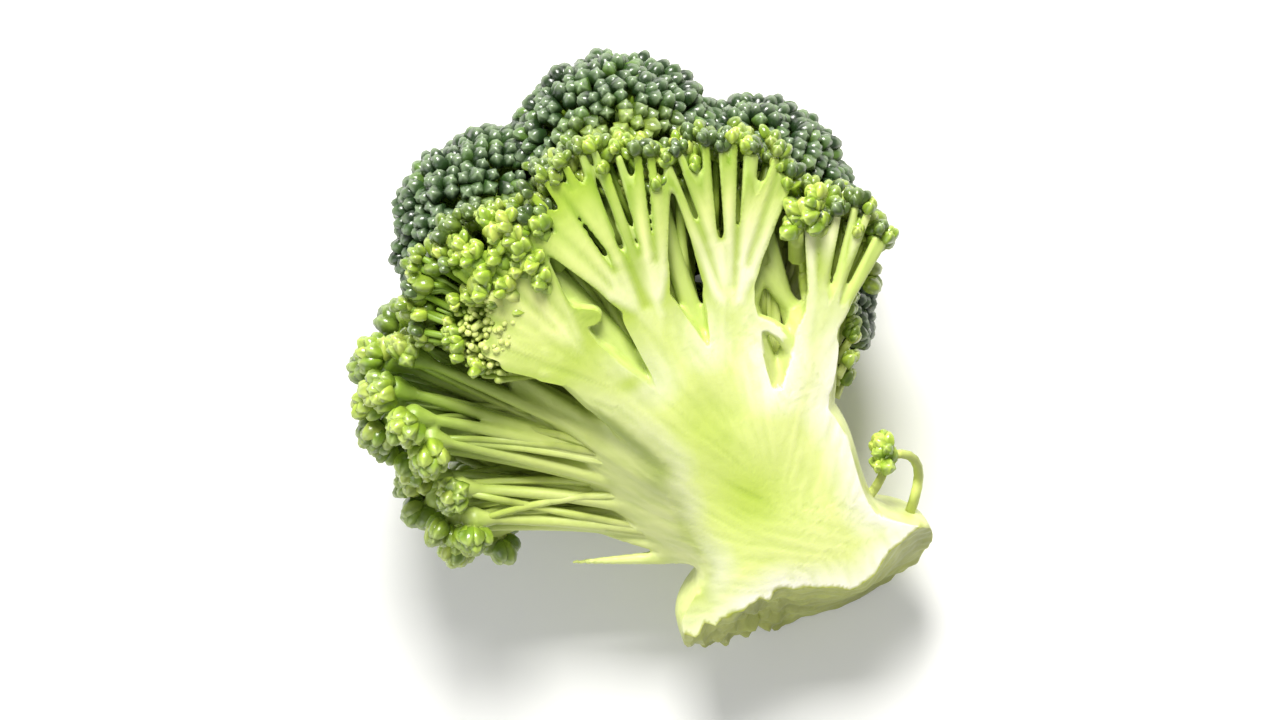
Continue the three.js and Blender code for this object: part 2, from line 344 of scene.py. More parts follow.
def spiral(radius, spacing):
    count = round(4 * math.pi * radius**2 / (spacing**2 * math.sqrt(0.75)))
    turn = Matrix.Rotation(chance.uniform(0, math.tau), 3, "X")
    turn = turn @ Matrix.Rotation(chance.uniform(0, math.tau), 3, "Z")
    ways = []
    for i in range(count):
        rise = 1 - (2 * i + 1) / count
        flat = math.sqrt(1 - rise * rise)
        way = Vector((flat * math.cos(i * GOLDEN_ANGLE), rise, flat * math.sin(i * GOLDEN_ANGLE)))
        off = Vector([chance.gauss(0, 0.13 * spacing / radius) for _ in range(3)])
        ways.append((turn @ way + off).normalized())
    return ways


def in_hollow(place):
    off = place - HOLLOW_CENTRE
    return math.sqrt(sum((off[k] / HOLLOW_SEMI_AXES[k]) ** 2 for k in range(3))) < 1


def buried(place, head, depth):
    return any(o is not head and (place - o["centre"]).length < o["radius"] - depth for o in HEADS)


print("the golden angle is", round(math.degrees(GOLDEN_ANGLE), 1), "degrees")

# %% [markdown]
# On a tight head the mounds are low and close together, and run into one another. On a loose head they are
# knobs: higher, further apart, and with their buds pulled towards the middle, so that a gap shows round
# each.

# %% The mounds and buds of each head
TIGHT = dict(mound_spacing=4.5, bud_spacing=1.53, dome=1.0, pull=0.12, mound_reach=3.4, fewest=1)
LOOSE = dict(mound_spacing=5.0, bud_spacing=1.42, dome=1.5, pull=0.42, mound_reach=2.5, fewest=6)
DOME_HALF_WIDTH, BUDS_INSIDE = 2.7, 1.9
MOUND_TURNED_BACK, BUD_TURNED_BACK = -0.5, -0.55
MOUND_BURIED, BUD_BURIED = 1.5, 1.7
HIGHEST_MOUND, HIGHEST_BUD, UNDER_THE_FAN = -0.8, -0.9, -3.0


def clamped(value):
    return min(1, max(0, value))


def find_mounds(head, kind, outward):
    mounds = []
    for way in spiral(head["radius"], kind["mound_spacing"]):
        place = head["centre"] + way * head["radius"]
        if way.dot(outward) < MOUND_TURNED_BACK or buried(place, head, MOUND_BURIED) or in_hollow(place):
            continue
        if place.z < (UNDER_THE_FAN if head["sliced"] else HIGHEST_MOUND):
            mounds.append(dict(way=way, buds=[], fresh=chance.uniform(0.2, 0.6)))
    return mounds


def cover_with_buds(head, kind, outward, mounds):
    for way in spiral(head["radius"], kind["bud_spacing"]):
        if way.dot(outward) < BUD_TURNED_BACK or not mounds:
            continue
        nearest = min(mounds, key=lambda mound: (mound["way"] - way).length_squared)
        off = (nearest["way"] - way).length * head["radius"]
        if off > kind["mound_reach"]:
            continue
        way = way.lerp(nearest["way"], kind["pull"]).normalized()
        dome = kind["dome"] * (1 - clamped((off / DOME_HALF_WIDTH) ** 2))
        place = head["centre"] + way * (head["radius"] - BUDS_INSIDE + dome + chance.uniform(-0.2, 0.2))
        if place.z < HIGHEST_BUD and not buried(place, head, BUD_BURIED) and not in_hollow(place):
            nearest["buds"].append(place)


for head in HEADS:
    kind = LOOSE if head["loose"] else TIGHT
    outward = (head["centre"] - head["divides"]).normalized()
    mounds = find_mounds(head, kind, outward)
    cover_with_buds(head, kind, outward, mounds)
    head["mounds"] = [mound for mound in mounds if len(mound["buds"]) >= kind["fewest"]]
all_mounds = [mound for head in HEADS for mound in head["mounds"]]
print(len(all_mounds), "mounds with", sum(len(mound["buds"]) for mound in all_mounds), "buds")

# %% [markdown]
# ## Limbs, fingers and twigs
# Between the branch and a mound there are two more steps. A branch divides into limbs, one for each patch
# of the head, and a limb into fingers, one for each mound. Limbs go into the tree. From the fingers on,
# everything is so thin that it keeps a mesh of its own, the twigs.

# %% Limbs and fingers
LIMB_SPACING, LIMB_REACH, LIMB, FINGER = 9.5, 0.42, (1.5, 0.9), (0.85, 0.6)
twigs = bmesh.new()


def add_twig(places, thick, thin, sides):
    add_stem(twigs, places, thick, thin, sides)


def patches_of(head):
    """The head's mounds in groups, each round one of a few even points."""
    middles, groups = spiral(head["radius"], LIMB_SPACING), {}
    for mound in head["mounds"]:
        nearest = max(range(len(middles)), key=lambda i: middles[i].dot(mound["way"]))
        groups.setdefault(nearest, []).append(mound)
    return [groups[number] for number in sorted(groups)]


def limb_towards(head, group):
    start = head["divides"] - head["along"] * 1.5
    way = sum((mound["way"] for mound in group), Vector()).normalized()
    tip = start.lerp(head["centre"] + way * head["radius"], LIMB_REACH)
    bend = start.lerp(tip, 0.5) + head["along"] * (tip - start).length * 0.12
    return bent_line(start, bend, tip, 5)


def grow_finger(limb, tip):
    heading = (limb[-1] - limb[-2]).normalized()
    line = led_line(limb[-1] - heading * 1.2, heading, tip, 0.45, 7)
    add_twig(line, *FINGER, sides=8)
    return line


print("the middles of two patches lie about", LIMB_SPACING, "mm apart")

# %% [markdown]
# On the loose heads no limbs show. One thick strand runs from the broad branch to each knob of buds, leaves
# the branch where it has to bend least, and widens into a small cup under the knob. Three thin strands run
# beside it from other places of the branch.

# %% The strands of the loose heads
THICK_STRAND, THIN_STRAND, CUP = (0.85, 0.5), (0.48, 0.33), (0.45, 1.25)
CUP_PLACES = (-1.8, -1.2, -0.6, 0, 0.4)
FINGER_INSIDE, STRAND_INSIDE = 5.0, 3.4


def least_bent_root(head, tip):
    """The place and way along the head's branches from which a strand bends least on its way to the tip."""
    places = []
    for branch in head["branches"]:
        for k in range(3, 7):
            places.append((branch[k], (branch[k + 1] - branch[k]).normalized()))
    return min(places, key=lambda place: place[1].angle(tip - place[0]))


def grow_strands(head, tip):
    root, heading = least_bent_root(head, tip)
    line = led_line(root - heading * 2, heading, tip, 0.5, 8)
    add_to_tree(line, *THICK_STRAND, sides=10)
    onward = (line[-1] - line[-2]).normalized()
    add_stem(tree, [tip + onward * along for along in CUP_PLACES], *CUP, sides=12, rounded=True)
    for _ in range(3):
        branch, k = chance.choice(head["branches"]), chance.randrange(3, 8)
        root = branch[k].lerp(branch[k + 1], chance.random())
        heading = (branch[k + 1] - branch[k]).normalized()
        root = root + stray(0.7) - heading * 3
        line = led_line(root, heading, tip + stray(0.5), 0.45, 7)
        add_twig(line, *THIN_STRAND, sides=6)
    return line


for head in HEADS:
    for group in patches_of(head):
        limb = limb_towards(head, group)
        if not head["loose"]:
            add_to_tree(limb, *LIMB, sides=12)
        for mound in group:
            inside = STRAND_INSIDE if head["loose"] else FINGER_INSIDE
            tip = head["centre"] + mound["way"] * (head["radius"] - inside)
            line = grow_strands(head, tip) if head["loose"] else grow_finger(limb, tip)
            mound["tip"], mound["heading"] = tip, (line[-1] - line[-2]).normalized()
print("the tree has", len(tree.faces), "faces with its limbs;", len(twigs.faces), "faces of fingers")

# %% [markdown]
# From the tip of a finger one twig runs to each bud of its mound, and stays under the cut. Buds are noted
# with their place, the way they point, their size, and how young they are. A young one is pale.

# %% The twigs under the buds of the mounds
HIGHEST_TWIG, BUD_TWIG = -0.3, (0.34, 0.28)
buds = []
for head in HEADS:
    sides, size = (5, 1.12) if head["loose"] else (4, 1.0)
    for mound in head["mounds"]:
        start = mound["tip"] - mound["heading"] * 0.8
        for place in mound["buds"]:
            bend = start + mound["heading"] * (place - start).length * 0.5
            up = (place - bend).normalized()
            line = bent_line(start, bend, place - up * 0.9, 3)
            for spot in line:
                spot.z = min(spot.z, HIGHEST_TWIG)
            add_twig(line, *BUD_TWIG, sides)
            shown = mound["fresh"] + 0.03 * max(0, place.z + 14) + chance.uniform(-0.1, 0.1)
            buds.append(dict(place=place, up=up, size=size, young=shown if head["loose"] else 0))
print(len(buds), "buds;", len(twigs.faces), "faces of twigs")

# %% [markdown]
# ## The fan
# Where the knife halved a head, its twigs lie in the cut like the ribs of a fan. They are planned from the
# outside in. Tips are spaced along the rim, neighbours are gathered by twos and threes into a fork, forks
# into a larger fork, and so on down to the branch, so that no twig crosses another.

# %% Plan a fan from its tips to its branch
TIP_SPACING, RIM_SWEEP = 1.45, math.radians(150)
TIP_DRAWN_IN, TIP_BURIED = (0, 0.3, 0.7, 1.3, 2.2), 2.0
FORKS = [(0.52, -0.1), (0.32, -0.25), (0.14, -0.45)]


def rim_tips(head, swept, level):
    centre, radius = head["centre"], head["radius"]
    outward = centre - head["divides"]
    heading = math.atan2(outward.y, outward.x)
    count = round(radius * RIM_SWEEP * swept / TIP_SPACING)
    tips = []
    for i in range(count):
        share = swept * (i + 0.5) / count - 0.5
        angle = heading + share * RIM_SWEEP + chance.uniform(-0.05, 0.05)
        reach = radius - 0.9 - chance.choice(TIP_DRAWN_IN)
        tip = centre + Vector((math.cos(angle), math.sin(angle), 0)) * reach
        tip.z = level + chance.uniform(-0.4, 0.1)
        if not buried(tip, head, TIP_BURIED):
            tips.append(dict(spot=tip, far=tip, above=[]))
    return tips


def plan_fan(head, swept, level):
    row = rim_tips(head, swept, level)
    for share, drop in FORKS:
        forks = []
        while row:
            size = chance.choice((2, 2, 3))
            group, row = row[:size], row[size:]
            far = sum((node["far"] for node in group), Vector()) / len(group)
            spot = head["divides"].lerp(far, share + chance.uniform(-0.07, 0.07))
            spot.z = level + drop + chance.uniform(-0.15, 0.15)
            forks.append(dict(spot=spot, far=far, above=group))
        row = forks
    return row


print("a fan forks", len(FORKS), "times on its way to the rim")

# %% [markdown]
# A twig in the fan ends in a tuft of a few small buds. Single buds stand beside it on stalks of their own,
# as they do on the shoulders of a real one.

# %% A tuft of buds and a bud beside a twig
TUFT_SIZE, SIDE_SIZE, SIDE_TWIG = (0.56, 0.84), (0.6, 0.85), (0.36, 0.3)


def add_tuft(tip, onward, count, young, large=1):
    aside = onward.orthogonal().normalized()
    for i in range(count):
        way = (onward + Quaternion(onward, i * GOLDEN_ANGLE) @ aside * 0.5 * math.sqrt(i)).normalized()
        place = tip + way * chance.uniform(0.5, 1.0) * large
        buds.append(dict(place=place, up=way, size=chance.uniform(*TUFT_SIZE) * large, young=young))


def add_side_bud(line, step, young):
    spot = line[step] + Vector((0, 0, -0.3))
    ahead = (line[step] - line[step - 1]).normalized()
    side = ahead.cross(Vector((0, 0, 1))) * chance.choice((-1, 1))
    up = (ahead + side * 0.8 + Vector((0, 0, chance.uniform(-1.2, -0.5)))).normalized()
    place = spot + up * chance.uniform(1.2, 1.7)
    add_twig([spot, spot + up * 0.7, place - up * 0.6], *SIDE_TWIG, sides=5)
    buds.append(dict(place=place, up=up, size=chance.uniform(*SIDE_SIZE), young=young))


print("a bud of a tuft is", TUFT_SIZE, "as large as one of a mound")

# %% [markdown]
# The planned fan is grown from the branch out. Each twig arrives at its fork already turned to the middle
# of what it carries. A short web fills each fork, as it does on the plant.

# %% Grow a fan from its branch to its tips
THICKNESS = [2.5, 1.9, 1.0, 0.54, 0.4]
WEB_REACH, WEB_SHARE, WEB_TIP = 0.75, 0.8, 0.2
TUFT_COUNTS, TUFT_SHADES = (3, 4, 4, 5), (0.08, 0.16, 0.3, 0.55, 0.8, 0.92)
SIDE_BUD_COUNTS, SIDE_BUD_STEPS, SIDE_BUD_SHADES = (0, 1, 1, 2), (3, 4, 5), (0.4, 0.8)


def grow_webs(node, thick, grow):
    for one, other in zip(node["above"], node["above"][1:]):
        end = node["spot"].lerp(one["spot"].lerp(other["spot"], 0.5), WEB_REACH)
        grow([node["spot"], node["spot"].lerp(end, 0.5), end], thick, WEB_TIP)


def grow_fan(nodes, start, heading, step, grow):
    for node in nodes:
        onward = (node["far"] - node["spot"]) if node["above"] else (node["spot"] - start)
        bend = node["spot"] - onward.normalized() * (node["spot"] - start).length * 0.42
        line = bent_line(start - heading * 0.7, bend, node["spot"], 5)
        grow(line, THICKNESS[step], THICKNESS[step + 1])
        onward = (line[-1] - line[-2]).normalized()
        if node["above"]:
            grow_webs(node, THICKNESS[step + 1] * WEB_SHARE, grow)
            grow_fan(node["above"], node["spot"], onward, step + 1, grow)
            continue
        add_tuft(node["spot"], onward.normalized(), chance.choice(TUFT_COUNTS), chance.choice(TUFT_SHADES))
        for _ in range(chance.choice(SIDE_BUD_COUNTS)):
            add_side_bud(line, chance.choice(SIDE_BUD_STEPS), chance.uniform(*SIDE_BUD_SHADES))


print("the ribs of a fan thin from", THICKNESS[0], "to", THICKNESS[-1], "mm")

# %% [markdown]
# Each sliced head gets two fans. The ribs of the first lie in the cut and belong to the flesh. A second one
# lies two millimetres deeper, and its thinner ribs show between those of the first. The first head was
# turned away from the knife on its left, so its own fan in the cut covers only half of the rim.

# %% The fans of the four sliced heads
IN_THE_CUT, BELOW_THE_CUT = -0.3, -2.4
FIRST_HEAD_SWEPT, APART_THICK, APART_THIN = 0.52, 0.65, 0.75


def grow_in_flesh(line, thick, thin):
    if thick > THICKNESS[-2]:
        add_ribbed_stem(line, thick, thin, sides=12, strands=5)
    else:
        add_to_tree(line, thick, thin, sides=10, rounded=False)


def grow_apart(line, thick, thin):
    if thick > THICKNESS[2]:
        add_stem(tree, line, thick * APART_THICK, thin * APART_THICK, sides=10, rounded=True)
    else:
        add_twig(line, thick * APART_THICK, thin * APART_THIN, sides=7)


for head in HEADS[:4]:
    start = head["divides"] - head["along"] * 2.5
    in_cut = plan_fan(head, FIRST_HEAD_SWEPT if head is HEADS[0] else 1.0, IN_THE_CUT)
    grow_fan(in_cut, start, head["along"], 0, grow_in_flesh)
    below = plan_fan(head, 1.0, BELOW_THE_CUT)
    grow_fan(below, start + Vector((0, 0, -2.0)), head["along"], 0, grow_apart)
print("the tree has", len(tree.faces), "faces with its fans;", len(buds), "buds")

# %% [markdown]
# Loose threads stand in the gaps between the sliced branches, a little below the cut.

# %% Threads in the gaps
THREADS_IN_GAP, THREAD = 9, (0.62, 0.34)
for left, right in zip(HEADS[:3], HEADS[1:4]):
    fork = left["divides"].lerp(right["divides"], 0.5)
    middle = left["centre"].lerp(right["centre"], 0.5)
    for _ in range(THREADS_IN_GAP):
        aside, onward = chance.uniform(-0.9, 0.9), chance.uniform(-1, 1)
        root = fork.lerp(middle, -0.3) + Vector((aside, onward, -2.2))
        aside, onward, sunk = chance.uniform(-2.4, 2.4), chance.uniform(1.5, 4.5), chance.uniform(-2.2, -0.6)
        tip = middle + Vector((aside, onward, sunk))
        bend = root.lerp(tip, 0.5) + Vector((chance.uniform(-0.6, 0.6), 0, chance.uniform(-0.6, 0.2)))
        add_twig(bent_line(root, bend, tip, 6), *THREAD, sides=7)
        add_tuft(tip, (tip - bend).normalized(), 4, 0.85)
print("each gap between two fans has", THREADS_IN_GAP, "threads")

# %% [markdown]
# The first head was turned towards the knife, so on its far side the twigs rise through the cut instead of
# lying in it. Their short ends stand close together and make a patch of pale grains. The golden spiral also
# spreads them evenly over an oval.

# %% Twigs that rise through the cut
PATCH_CENTRE, PATCH_RADII, PATCH_COUNT = Vector((-17.2, 34.0, 0)), (3.6, 4.4), 150


def over_an_oval(centre, half_wide, half_long, count):
    """Even places over an oval in the cut, each with its angle and its share of the way out."""
    for i in range(count):
        angle, out = i * GOLDEN_ANGLE, math.sqrt((i + 0.5) / count)
        off = Vector((math.cos(angle) * half_wide * out, math.sin(angle) * half_long * out, 0))
        yield centre + off, angle, out


first = HEADS[0]
for spot, angle, out in over_an_oval(PATCH_CENTRE, *PATCH_RADII, PATCH_COUNT):
    aside, onward, sunk = chance.uniform(-0.3, 0.3), chance.uniform(-0.3, 0.3), chance.uniform(-0.8, 0)
    spot += Vector((aside, onward, sunk - 1.2 * out**4))
    root = first["divides"].lerp(spot, 0.3) + Vector((0, 0, -2.2))
    bend = spot + Vector((chance.uniform(-0.5, 1.3), chance.uniform(-1.3, 0.5), -2.0))
    add_stem(twigs, bent_line(root, bend, spot, 7), 0.42, chance.uniform(0.2, 0.36), sides=7, rounded=True)
    if out > 0.7 and chance.random() < 0.35 and angle % math.tau < math.pi * 1.3:
        add_tuft(spot, Vector((-0.3, 0.5, 0.4)).normalized(), 3, 0.9)
print(PATCH_COUNT, "twigs rise through the cut")

# %% [markdown]
# Between that patch and the branch the threads have grown together. They are thicker there and belong to
# the flesh, so the remesh melts them into one sheet, which the cut then lays bare.

# %% Threads that have grown together
FUSED_CENTRE, FUSED_RADII, FUSED_COUNT = Vector((-14.0, 33.0, -0.4)), (4.2, 4.4), 20
FUSED_THREAD = (1.2, 0.9)
root = first["divides"] - first["along"] * 1.5
for spot, _, _ in over_an_oval(FUSED_CENTRE, *FUSED_RADII, FUSED_COUNT):
    line = bent_line(root, root.lerp(spot, 0.5) + first["along"] * 0.8, spot, 7)
    add_to_tree(line, *FUSED_THREAD, sides=10)
print(FUSED_COUNT, "threads have grown together")

# %% [markdown]
# Nearer the tips of the same head, and of the last sliced one, short branchlets come up through the cut
# with their knobs of buds whole, so the outer part of the fan is lumpy and the flesh shows only between
# them.

# %% Knobs on two of the fans
KNOB_FIELDS = [
    (HEADS[0], Vector((-13.0, 40.3, 0)), 3.9, 3.8, 13),
    (HEADS[3], Vector((12.4, 33.5, 0)), 2.2, 2.0, 5),
]
KNOB_TWIG, KNOB_UP, KNOB_BUDS, KNOB_LARGE = (0.8, 0.7), Vector((-0.3, 0.8, 0.45)).normalized(), 4, 1.3
for head, centre, half_wide, half_long, count in KNOB_FIELDS:
    for spot, _, _ in over_an_oval(centre, half_wide, half_long, count):
        spot += Vector((chance.uniform(-0.4, 0.4), chance.uniform(-0.4, 0.4), chance.uniform(-0.5, 0)))
        root = head["divides"].lerp(spot, 0.72) + Vector((0, 0, -1.5))
        line = bent_line(root, root.lerp(spot, 0.5) - Vector((0, 0, 0.2)), spot, 4)
        add_twig(line, *KNOB_TWIG, sides=8)
        add_tuft(spot, KNOB_UP, KNOB_BUDS, chance.uniform(0.85, 1), KNOB_LARGE)
    print(count, "knobs stand on the fan at", centre.x)

# %% [markdown]
# A strand was half peeled off between the last two sliced branches, and arches over the gap between them. A
# branch to the heads behind fills the floor of that gap.

# %% The peeled strand and the floor of its gap
arch = bent_line(Vector((2.6, 26, -0.9)), Vector((7.8, 26.4, -0.5)), Vector((6.4, 17.5, -1.1)), 10)
add_to_tree(arch, 0.7, 0.8, sides=10, rounded=False)
floor_of_gap = bent_line(Vector((2.8, 13, -4)), Vector((4.2, 19, -4.2)), Vector((6, 26, -9)), 6)
add_ribbed_stem(floor_of_gap, 2.4, 0.8, sides=12, strands=5)
print("the strand arches over", round((arch[-1] - arch[0]).length, 1), "mm")

# %% [markdown]
# Small buds stand on the flank of the last branch, on short twigs of their own.

# %% Buds on the flank
FLANK_HEIGHTS = (14.5, 15.7, 17, 18.2, 19.5, 20.8, 22, 23.2)
FLANK_TWIG, FLANK_BUDS, FLANK_SHADE = (0.45, 0.34), 5, 0.75
for height in FLANK_HEIGHTS:
    root = Vector((4.0 + 0.33 * height, height, -2.6 + chance.uniform(-1.2, 0.4)))
    up = Vector((0.8, 0.7, chance.uniform(-0.4, 0.1))).normalized()
    tip = root + up * chance.uniform(1.4, 2.4)
    add_twig(bent_line(root, root + up * 0.8, tip, 3), *FLANK_TWIG, sides=6)
    add_tuft(tip, up, FLANK_BUDS, FLANK_SHADE)
print(len(FLANK_HEIGHTS), "tufts stand on the flank")

# %% [markdown]
# Two side shoots curl up from the flare of the stalk, the longer one with the larger tuft. On the other
# side two slivers of the broad branch were split off by the knife, and taper to nothing.

# %% Side shoots and slivers
SHOOT, SHOOT_SHADE, SHOOT_LARGE, SLIVER = (0.5, 0.4), 0.95, 1.35, (1.2, 0.22)
shoot = bent_line(Vector((11.0, 0.8, -3)), Vector((15.6, 6.8, -2.4)), Vector((11.6, 8.0, -1.8)), 8)
add_twig(shoot, *SHOOT, sides=9)
tuft_up = Vector((-0.3, 0.9, 0.2)).normalized()
add_tuft(shoot[-1] + Vector((-0.2, 0.6, 0)), tuft_up, 8, SHOOT_SHADE, SHOOT_LARGE)
short_shoot = bent_line(Vector((7.4, 3.8, -3)), Vector((9.6, 5, -2.6)), Vector((10.7, 7.0, -2)), 4)
add_twig(short_shoot, *SHOOT, sides=8)
tuft_up = Vector((-0.1, 0.9, 0.3)).normalized()
add_tuft(short_shoot[-1], tuft_up, 7, SHOOT_SHADE, SHOOT_LARGE)
for tip in ((-19, 7.5, -7), (-17.5, 11.5, -7)):
    sliver = bent_line(Vector((-3, 3, -4)), Vector((-10, 5.5, -4)), Vector(tip), 8)
    add_to_tree(sliver, *SLIVER, sides=10, rounded=False)
print("the tree has", len(tree.faces), "faces in all")

# %% [markdown]
# ## From a tree of tubes to one piece of flesh
# The tubes of the tree overlap. A voxel remesh turns them into one skin. Where two ribs of a fan nearly
# touch, the skin between them is thinner than a voxel, and tears into a dotted line. So the skin is drawn
# in by a little and remeshed, which parts such ribs, and is then let out again by as much. A little
# smoothing rounds the crotches as they are on the plant, and the mesh is thinned to a size that can be
# handed on.

# %% One skin for the tree
VOXEL, DRAWN_IN, SOFTENING_ROUNDS, KEPT_FACES = 0.2, 0.09, 2, 0.32


def object_from(bm, name):
    mesh = bpy.data.meshes.new(name)
    bm.to_mesh(mesh)
    bm.free()
    made = bpy.data.objects.new(name, mesh)
    bpy.context.scene.collection.objects.link(made)
    return made


def bake_modifiers(made):
    """Replaces a piece's mesh with what its modifiers make of it."""
    bpy.context.view_layer.update()
    shown = made.evaluated_get(bpy.context.evaluated_depsgraph_get())
    final = bpy.data.meshes.new_from_object(shown)
    final.materials.clear()
    made.modifiers.clear()
    made.data = final


stalk = object_from(tree, "stalk_flesh")
for swelling in (-DRAWN_IN, DRAWN_IN):
    skin = stalk.modifiers.new("skin", "REMESH")
    skin.mode, skin.voxel_size = "VOXEL", VOXEL
    swell = stalk.modifiers.new("swell", "DISPLACE")
    swell.strength, swell.mid_level = swelling, 0
soften = stalk.modifiers.new("soften", "SMOOTH")
soften.factor, soften.iterations = 0.5, SOFTENING_ROUNDS
thin_out = stalk.modifiers.new("thin_out", "DECIMATE")
thin_out.ratio = KEPT_FACES
bake_modifiers(stalk)
print("the skin has", len(stalk.data.polygons), "faces")

# %% [markdown]
# ## The knife
# A kitchen knife leaves a face that is nearly flat, with a slow wave and a few shallow steps. On the left
# of the stalk the face rolls over into the broad branch. The tool is a fine grid raised to a block, and a
# Boolean takes it away from the tree. The grid's own corners stay in the cut face, which is how the face
# gets its wave.

# %% The long cut
BLOCK_HEIGHT = 40


def rolled_over(x, y):
    return clamped((-4.2 - x) / 4.5) ** 2 * math.exp(-(((y - 6.5) / 6.5) ** 2))


def knife_height(x, y):
    slow = noise.noise(Vector((x / 9, y / 9, 3.1)))
    quick = noise.noise(Vector((x / 2.2, y / 5, 7.7)))
    return 0.45 * slow + 0.08 * quick - 0.15 - 2.0 * rolled_over(x, y)


def knife_block(middle, half, cell, height_at):
    bm = bmesh.new()
    cells = round(2 * half / cell)
    bmesh.ops.create_grid(bm, x_segments=cells, y_segments=cells, size=half)
    bmesh.ops.translate(bm, vec=middle, verts=bm.verts[:])
    for corner in bm.verts:
        corner.co.z = height_at(corner.co.x, corner.co.y)
    raised = bmesh.ops.extrude_face_region(bm, geom=bm.faces[:], use_keep_orig=True)["geom"]
    top = [part for part in raised if isinstance(part, bmesh.types.BMVert)]
    bmesh.ops.translate(bm, vec=(0, 0, BLOCK_HEIGHT), verts=top)
    bmesh.ops.recalc_face_normals(bm, faces=bm.faces[:])
    return bm


def take_away(made, tool):
    cut = made.modifiers.new("cut", "BOOLEAN")
    cut.operation, cut.solver, cut.object = "DIFFERENCE", "MANIFOLD", tool
    bake_modifiers(made)
    bpy.data.objects.remove(tool)


take_away(stalk, object_from(knife_block((-5, 22, 0), 34, 0.27, knife_height), "long_tool"))
print("after the long cut the flesh has", len(stalk.data.polygons), "faces")

# %% [markdown]
# A second cut goes across the stalk on a slant. Its face is rough. On the left the fibres tore, which
# leaves a jagged edge, and one wide chip is missing right of the middle. The same kind of block is tilted
# and taken away.

# %% The cut across the stalk
END_SLANT = math.radians(38)


def end_height(x, y):
    torn = 0.9 * noise.noise(Vector((x / 0.9, y / 2.5, 8.4))) * clamped(-x / 4)
    chipped = 1.6 * math.exp(-(((x - 4.2) / 3.2) ** 2)) - 0.6 * math.exp(-(((x + 3) / 2.5) ** 2))
    chipped -= 0.6 * clamped((x - 8) / 3)
    rough = 0.6 * noise.noise(Vector((x / 6, y / 6, 1.3)))
    rough += 0.3 * noise.noise(Vector((x / 1.5, y / 1.5, 5.1)))
    return rough + torn + chipped * math.exp(-((y / 12) ** 2))


end_block = knife_block((0, 0, 0), 24, 0.4, end_height)
facing_out = Matrix.Rotation(math.pi / 2 - END_SLANT, 4, "X")
bmesh.ops.transform(end_block, matrix=facing_out, verts=end_block.verts[:])
take_away(stalk, object_from(end_block, "end_tool"))
print("after both cuts the flesh has", len(stalk.data.polygons), "faces")

# %% [markdown]
# The heel of the stalk rests on the table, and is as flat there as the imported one.

# %% The flat under the heel
TABLE_AT, TABLE_THICK = 0.00005, 0.08
table_bm = bmesh.new()
below = Matrix.Translation((0, 0, TABLE_AT - TABLE_THICK / 2)) @ Matrix.Scale(TABLE_THICK, 4)
bmesh.ops.create_cube(table_bm, size=1, matrix=lay_down.inverted() @ below)
take_away(stalk, object_from(table_bm, "table_tool"))
print("with its flat heel the flesh has", len(stalk.data.polygons), "faces")

# %% [markdown]
# Only the knife's right-hand edge is sharp. On the left the wet fibres have given way, so the corners there
# are evened out a few dozen times, which rounds the edge over.

# %% The soft edge on the left
SOFT_ROUNDS, SOFT_ABOVE = 24, -4.5


def on_the_left(x, y):
    across = clamped((-x - 4.5) / 3) * clamped((x + 14.5) / 3)
    return across * clamped((27 - y) / 5) * clamped((y - 1) / 3)


softened = bmesh.new()
softened.from_mesh(stalk.data)
loose_edge = [v for v in softened.verts if v.co.z > SOFT_ABOVE and on_the_left(v.co.x, v.co.y) > 0.5]
even_out(softened, loose_edge, SOFT_ROUNDS)
softened.to_mesh(stalk.data)
softened.free()
print("softened corners:", len(loose_edge))

# %% [markdown]
# ## Buds
# A bud is an egg of about 1.7 by 2 mm. Four closed sepals wrap it, which shows as four shallow grooves that
# meet at the tip. The egg is a small ball whose odd meridians are pulled in. There are about three
# thousand, so each has only a few dozen faces.

# %% One bud
def bud_form(grooved, slender):
    bm = bmesh.new()
    bmesh.ops.create_uvsphere(bm, u_segments=8, v_segments=6, radius=1)
    # The groove values mark where shade is painted into the grooves between the sepals.
    groove_shade, height = bm.verts.layers.float.new("groove_shade"), bm.verts.layers.float.new("height")
    for corner in bm.verts:
        x, y, z = corner.co
        odd = round(math.atan2(y, x) / (math.pi / 4)) % 2 == 1 and abs(z) < 0.99
        corner[groove_shade], corner[height] = float(odd), 0.5 + 0.5 * z
        pull = (1 - grooved if odd else 1) * (1 - 0.14 * z) * slender
        corner.co = Vector((x * pull, y * pull, z * (0.84 if odd and z > 0.5 else 1)))
    mesh = bpy.data.meshes.new("bud")
    bm.to_mesh(mesh)
    bm.free()
    return mesh


bud_forms = [bud_form(*shape) for shape in ((0.2, 0.84), (0.27, 0.9), (0.16, 0.78))]
BUD_CORNERS = len(bud_forms[0].vertices)
print("a bud has", len(bud_forms[0].polygons), "faces")

# %% [markdown]
# Every bud noted so far is now set in its place. It leans a little and is turned about its own axis. Its
# corners carry two numbers for the finish: how pale it is, which young buds and those near the cut are, and
# a tone of its own.

# %% All buds
PALE_WITHIN, PALEST_OLD_BUD = 6, 0.6


def add_values(made, name, values):
    made.data.attributes.new(name, "FLOAT", "POINT").data.foreach_set("value", np.asarray(values, np.float32))


